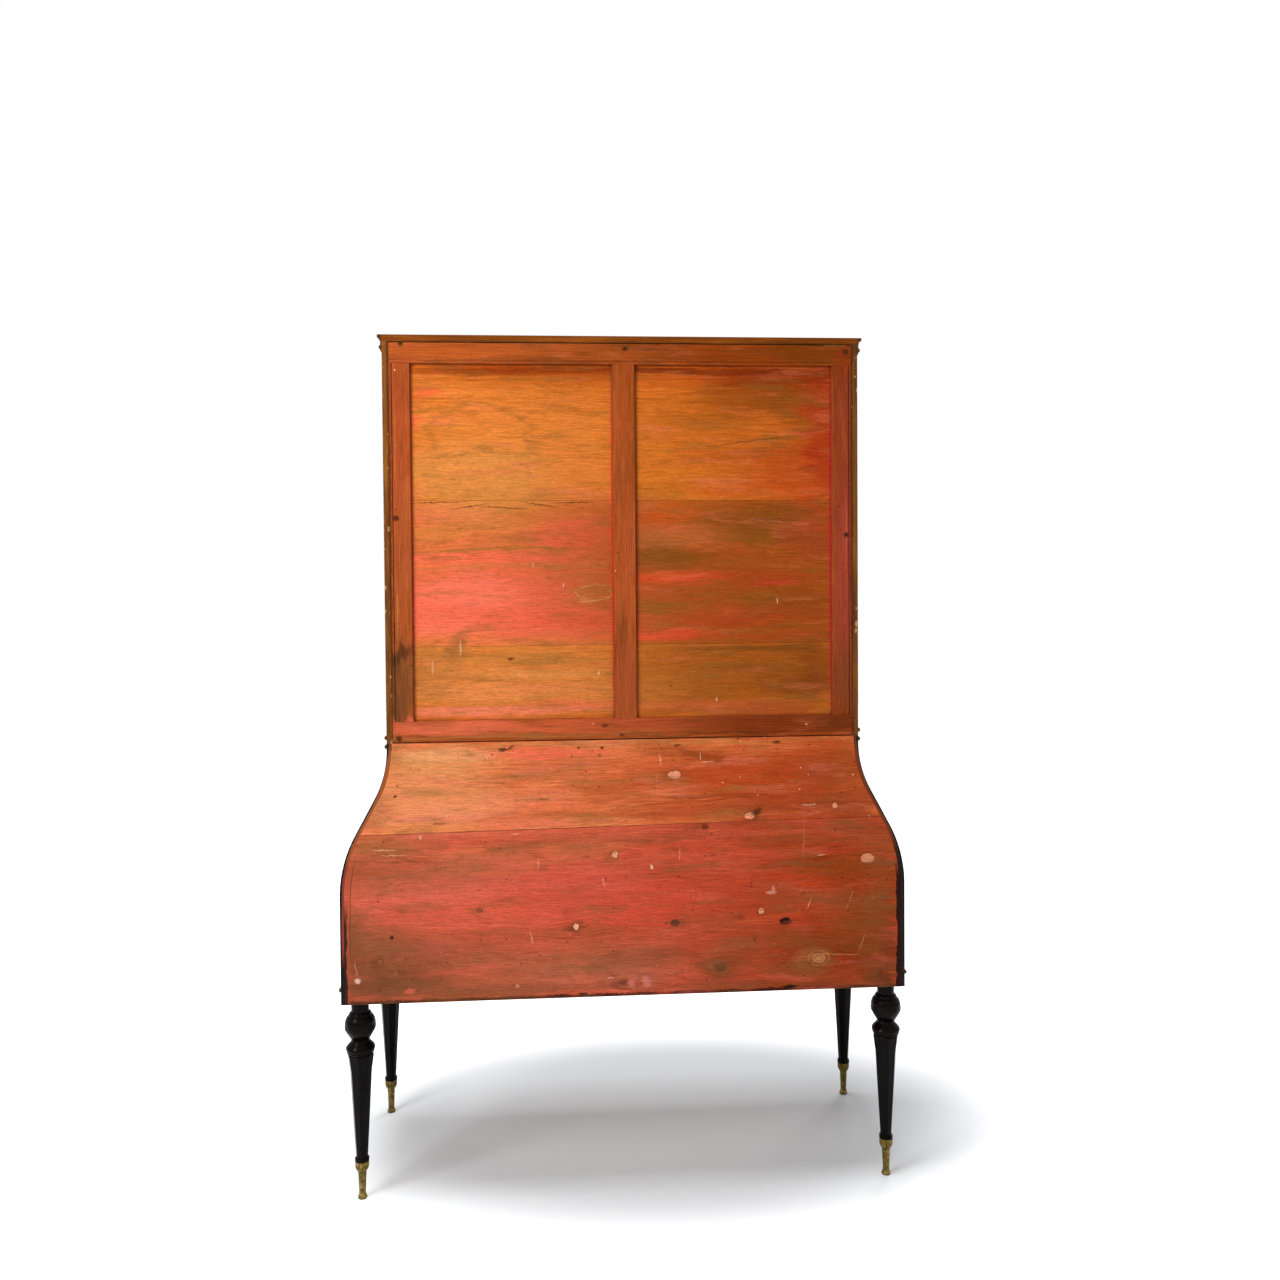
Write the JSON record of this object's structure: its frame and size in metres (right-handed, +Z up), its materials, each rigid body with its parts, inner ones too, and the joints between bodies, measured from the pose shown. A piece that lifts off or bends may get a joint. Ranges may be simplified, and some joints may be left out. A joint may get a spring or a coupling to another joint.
{
  "type": "secretary bookcase",
  "caption": "Glazed bookcase on an ogee-sided writing cabinet with a hinged fall, pigeonholes, drawers and turned legs with brass shoes; panelled back.",
  "frame": {"origin": "on the floor under the centre of the bounding box", "axes": "+Z up, +Y towards the panelled back, -Y towards the doors and the fall, +X to the right seen from the front"},
  "size_m": [1.29, 0.5052, 1.943],
  "materials": {
    "ebonised_case": "blackened wood under an old satin shellac polish",
    "ebonised_legs": "blackened turned wood, rubbed reddish on the edges",
    "orange_panels": "stained softwood boards with fine level grain, matt",
    "red_brown_frame": "stained softwood frame, matt, darker at the joints",
    "salmon_back_boards": "red-washed softwood boards with scratches and specks",
    "carcase_pine": "plain oiled softwood",
    "inner_mahogany": "mahogany under thin satin polish",
    "dark_mahogany": "dark polished mahogany",
    "aged_brass": "aged brass with dull brown and green hollows",
    "steel_key": "worn bright steel",
    "window_glass": "clear old window glass",
    "red_leather": "oxblood writing leather, satin"
  },
  "bodies": {
    "case": {"upper_side_left": "ebonised_case", "upper_side_right": "ebonised_case", "upper_bottom": "carcase_pine", "upper_top": "carcase_pine", "frieze_rail": "ebonised_case", "cornice": "ebonised_case", "brass_beads": "aged_brass", "back_frame_rails": "red_brown_frame", "back_frame_stiles": "red_brown_frame", "back_frame_muntin": "red_brown_frame", "back_panel_left": "orange_panels", "back_panel_right": "orange_panels", "back_screws": "aged_brass", "shelves": "inner_mahogany", "shelf_pegs": "aged_brass", "case_hinge_leaves": "aged_brass", "hinge_pins": "aged_brass", "lower_side_left": "ebonised_case", "lower_side_right": "ebonised_case", "lower_back_upper": "salmon_back_boards", "lower_back_lower": "salmon_back_boards", "lower_top": "carcase_pine", "lower_bottom": "carcase_pine", "waist_rail": "ebonised_case", "desk_board": "inner_mahogany", "drawer_rails": "dark_mahogany", "loper_dividers": "carcase_pine", "drawer_runners": "carcase_pine", "gallery_boards": "inner_mahogany", "gallery_partitions": "inner_mahogany", "gallery_back": "inner_mahogany", "gallery_facings": "inner_mahogany", "leg_back_left": "ebonised_legs", "leg_back_right": "ebonised_legs", "leg_front_left": "ebonised_legs", "leg_front_right": "ebonised_legs", "sabots": "aged_brass"},
    "door_left": {"door_frame_left": "ebonised_case", "door_glass_left": "window_glass", "door_hinges_left": "aged_brass"},
    "door_right": {"door_frame_right": "ebonised_case", "door_glass_right": "window_glass", "door_hinges_right": "aged_brass", "door_lock": "aged_brass"},
    "key": {"door_key": "steel_key"},
    "fall": {"fall": "ebonised_case", "fall_leather": "red_leather", "fall_hinge_leaves": "aged_brass", "fall_lock": "aged_brass"},
    "loper_left": {"loper_left": "dark_mahogany"},
    "loper_right": {"loper_right": "dark_mahogany"},
    "drawer_upper": {"drawer_upper": "dark_mahogany", "drawer_upper_knobs": "aged_brass"},
    "drawer_lower": {"drawer_lower": "dark_mahogany", "drawer_lower_knobs": "aged_brass"},
    "small_drawer_1": {"small_drawer_1": "inner_mahogany"},
    "small_drawer_2": {"small_drawer_2": "inner_mahogany"},
    "small_drawer_3": {"small_drawer_3": "inner_mahogany"},
    "small_drawer_4": {"small_drawer_4": "inner_mahogany"}
  },
  "joints": [
    {"name": "door_left_hinge", "type": "hinge", "parent": "case", "child": "door_left", "pos_m": [-0.51175, -0.11542, 1.0595], "axis": [0, 0, -1], "range_deg": [0, 105]},
    {"name": "door_right_hinge", "type": "hinge", "parent": "case", "child": "door_right", "pos_m": [0.51175, -0.11542, 1.0595], "axis": [0, 0, 1], "range_deg": [0, 105]},
    {"name": "key_turn", "type": "hinge", "parent": "door_right", "child": "key", "pos_m": [0.02075, -0.11342, 1.4595], "axis": [0, 1, 0], "range_deg": [0, 90]},
    {"name": "fall_hinge", "type": "hinge", "parent": "case", "child": "fall", "pos_m": [0, -0.21736, 0.742], "axis": [1, 0, 0], "range_deg": [0, 117.6]},
    {"name": "loper_left_slide", "type": "slide", "parent": "case", "child": "loper_left", "axis": [0, -1, 0], "range_m": [0, 0.25]},
    {"name": "loper_right_slide", "type": "slide", "parent": "case", "child": "loper_right", "axis": [0, -1, 0], "range_m": [0, 0.25]},
    {"name": "drawer_upper_slide", "type": "slide", "parent": "case", "child": "drawer_upper", "axis": [0, -1, 0], "range_m": [0, 0.32]},
    {"name": "drawer_lower_slide", "type": "slide", "parent": "case", "child": "drawer_lower", "axis": [0, -1, 0], "range_m": [0, 0.32]},
    {"name": "small_drawer_1_slide", "type": "slide", "parent": "case", "child": "small_drawer_1", "axis": [0, -1, 0], "range_m": [0, 0.13]},
    {"name": "small_drawer_2_slide", "type": "slide", "parent": "case", "child": "small_drawer_2", "axis": [0, -1, 0], "range_m": [0, 0.13]},
    {"name": "small_drawer_3_slide", "type": "slide", "parent": "case", "child": "small_drawer_3", "axis": [0, -1, 0], "range_m": [0, 0.13]},
    {"name": "small_drawer_4_slide", "type": "slide", "parent": "case", "child": "small_drawer_4", "axis": [0, -1, 0], "range_m": [0, 0.13]}
  ]
}
